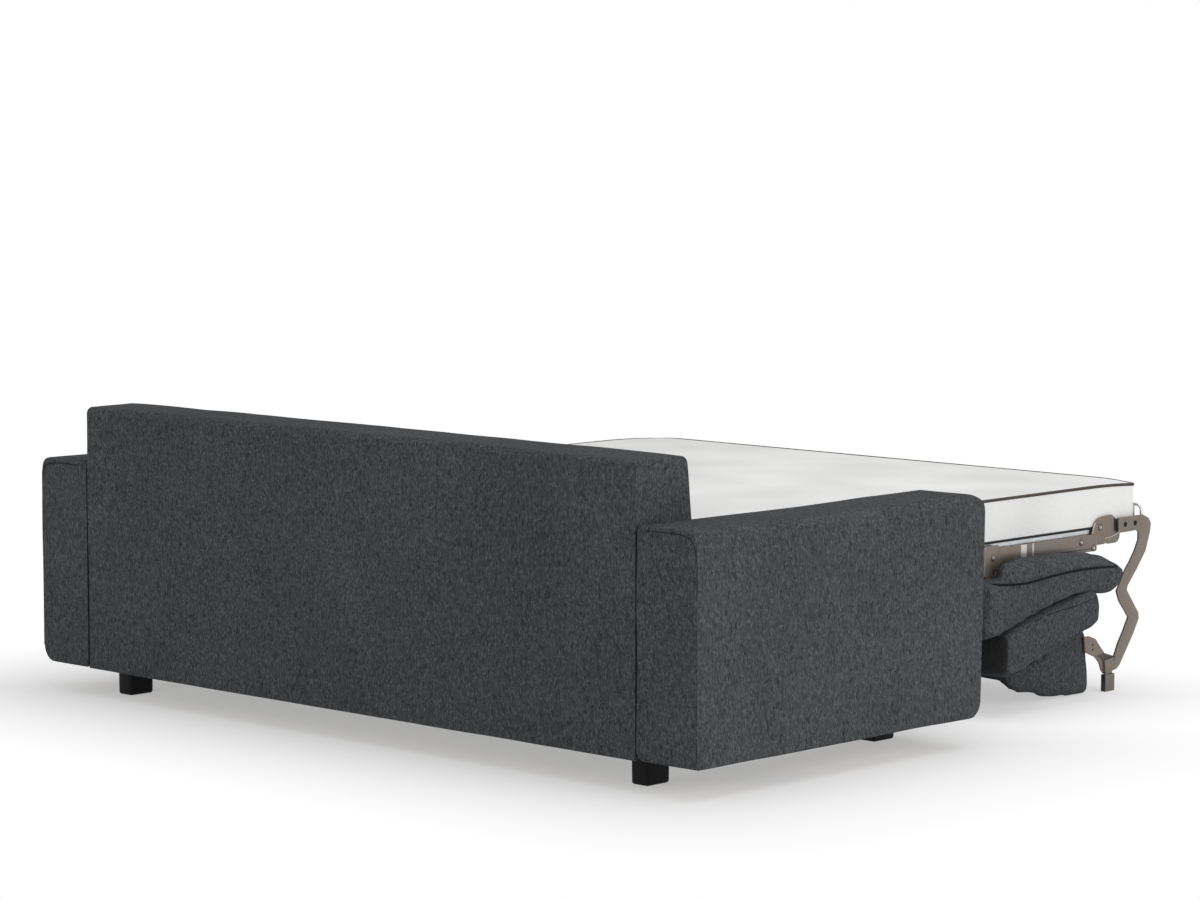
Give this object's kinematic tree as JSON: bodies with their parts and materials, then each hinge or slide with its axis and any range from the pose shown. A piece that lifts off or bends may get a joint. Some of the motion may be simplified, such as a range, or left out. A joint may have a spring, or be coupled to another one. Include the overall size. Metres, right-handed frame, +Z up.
{
  "type": "sleeper sofa",
  "caption": "Upholstered sleeper sofa whose seat and back cushions fold over and under to open a flat bed on zigzag steel legs",
  "frame": {"origin": "centre of the overall box at floor level, with the bed open", "axes": "+X across the sofa, +Y towards the back, +Z up"},
  "size_m": [2.397, 2.137, 0.7775],
  "materials": {
    "black_plastic": "matt black",
    "bright_steel": "bright galvanised steel",
    "charcoal_fabric": "soft woven upholstery in dark grey",
    "dark_steel": "black oxide",
    "frame_steel": "satin bronze grey paint",
    "mattress_cover": "white quilted ticking",
    "pad_plastic": "bronze grey nylon",
    "slat_wood": "bent beech slats",
    "timber": "plain sawn softwood and ply"
  },
  "bodies": {
    "sofa_shell": {"arm_cover_left": "charcoal_fabric", "arm_cover_right": "charcoal_fabric", "arm_frame_left": "timber", "arm_frame_right": "timber", "back_board": "timber", "back_cover": "charcoal_fabric", "back_crest": "charcoal_fabric", "back_lower_rail": "timber", "back_post_left": "timber", "back_post_right": "timber", "base_rail_left": "timber", "base_rail_right": "timber", "bracket_bolts": "dark_steel", "pivot_bracket_left": "frame_steel", "pivot_bracket_right": "frame_steel", "sofa_foot_front_left": "black_plastic", "sofa_foot_front_right": "black_plastic", "sofa_foot_rear_left": "black_plastic", "sofa_foot_rear_right": "black_plastic"},
    "head_section": {"head_cross_tubes": "bright_steel", "head_side_rails": "bright_steel", "head_slats": "slat_wood", "head_swing_plate_left": "frame_steel", "head_swing_plate_right": "frame_steel", "mattress_head": "mattress_cover"},
    "middle_section": {"mattress_middle": "mattress_cover", "middle_cross_tubes": "bright_steel", "middle_front_plates": "frame_steel", "middle_hinge_pins": "bright_steel", "middle_rear_plates": "frame_steel", "middle_side_rails": "bright_steel", "middle_slats": "slat_wood"},
    "guide_links": {"guide_link_left": "frame_steel", "guide_link_right": "frame_steel"},
    "foot_section": {"backrest_hinge_arms": "dark_steel", "corner_plate_left": "frame_steel", "corner_plate_right": "frame_steel", "fold_plates": "frame_steel", "foot_cross_tubes": "bright_steel", "foot_side_rails": "bright_steel", "foot_slats": "slat_wood", "mattress_foot": "mattress_cover", "mattress_hoops": "bright_steel", "rear_bar_plate_left": "frame_steel", "rear_bar_plate_right": "frame_steel", "rivets": "bright_steel", "seat_board": "timber", "seat_cushion": "charcoal_fabric", "side_bar_left": "frame_steel", "side_bar_right": "frame_steel"},
    "legs": {"foot_bracket_left": "frame_steel", "foot_bracket_right": "frame_steel", "leg_left": "frame_steel", "leg_pad_left": "pad_plastic", "leg_pad_right": "pad_plastic", "leg_right": "frame_steel"},
    "backrest": {"back_cushion": "charcoal_fabric", "back_panel": "charcoal_fabric", "backrest_board": "timber", "backrest_hinge_leaves": "dark_steel"}
  },
  "joints": [
    {"name": "bed_fold", "type": "hinge", "parent": "sofa_shell", "child": "head_section", "pos_m": [0, 0.8875, 0.479], "axis": [1, 0, 0], "range_deg": [0, 90]},
    {"name": "middle_hinge", "type": "hinge", "parent": "head_section", "child": "middle_section", "pos_m": [0, 0.6085, 0.561], "axis": [1, 0, 0], "range_deg": [-90, 0]},
    {"name": "guide_pivot", "type": "hinge", "parent": "sofa_shell", "child": "guide_links", "pos_m": [0, 0.8875, 0.419], "axis": [1, 0, 0], "range_deg": [0, 90]},
    {"name": "foot_hinge", "type": "hinge", "parent": "middle_section", "child": "foot_section", "pos_m": [0, -0.2165, 0.561], "axis": [-1, 0, 0], "range_deg": [0, 180]},
    {"name": "leg_pivot", "type": "hinge", "parent": "foot_section", "child": "legs", "pos_m": [0, -0.9515, 0.447], "axis": [-1, 0, 0], "range_deg": [0, 22]},
    {"name": "backrest_hinge", "type": "hinge", "parent": "foot_section", "child": "backrest", "pos_m": [0, -0.7535, 0.29], "axis": [-1, 0, 0], "range_deg": [0, 90]}
  ],
  "couplings": [
    {"joint": "middle_hinge", "follows": "bed_fold", "ratio": -1},
    {"joint": "guide_pivot", "follows": "bed_fold", "ratio": 1},
    {"joint": "foot_hinge", "follows": "bed_fold", "ratio": 2},
    {"joint": "leg_pivot", "follows": "bed_fold", "ratio": 0.24444},
    {"joint": "backrest_hinge", "follows": "bed_fold", "ratio": 1}
  ]
}
